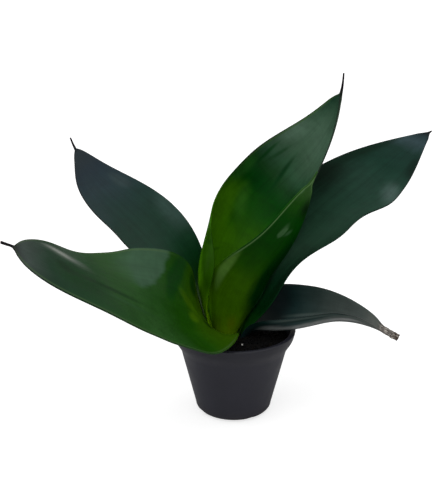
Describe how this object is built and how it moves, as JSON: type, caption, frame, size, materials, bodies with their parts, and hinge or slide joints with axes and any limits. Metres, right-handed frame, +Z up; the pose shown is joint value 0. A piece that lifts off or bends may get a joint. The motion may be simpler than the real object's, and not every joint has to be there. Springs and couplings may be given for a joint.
{
  "type": "potted snake plant",
  "caption": "Young broad-leaved snake plant: a rosette of cupped, pointed leaves that lean outward from the soil of a small tapered nursery pot with a turned-out lip",
  "frame": {"origin": "middle of the pot's flat underside, where the plant stands on its surface", "axes": "+Z up along the pot's axis; the viewer of the reference view stands on the -Y side, with +X to the viewer's right"},
  "size_m": [0.301, 0.2358, 0.2446],
  "materials": {
    "pot_plastic": "moulded charcoal plastic, satin",
    "potting_mix": "dark crumbly potting mix",
    "rhizome": "pale brown, fibrous",
    "leaf_tall_centre": "fresh green, waxy satin",
    "leaf_young_front": "yellow-green at the base, dark green above, waxy satin",
    "leaf_back_left": "blue-grey green, waxy satin",
    "leaf_front_left": "mid green, yellow-green at the base, waxy satin",
    "leaf_back_right": "deep teal green, waxy satin",
    "leaf_low_right": "dark grey-green with a dried brown tip"
  },
  "bodies": {
    "root": {"pot": "pot_plastic", "soil": "potting_mix", "rhizome": "rhizome", "leaf_tall_centre": "leaf_tall_centre", "leaf_young_front": "leaf_young_front", "leaf_back_left": "leaf_back_left", "leaf_front_left": "leaf_front_left", "leaf_back_right": "leaf_back_right", "leaf_low_right": "leaf_low_right"}
  },
  "joints": []
}
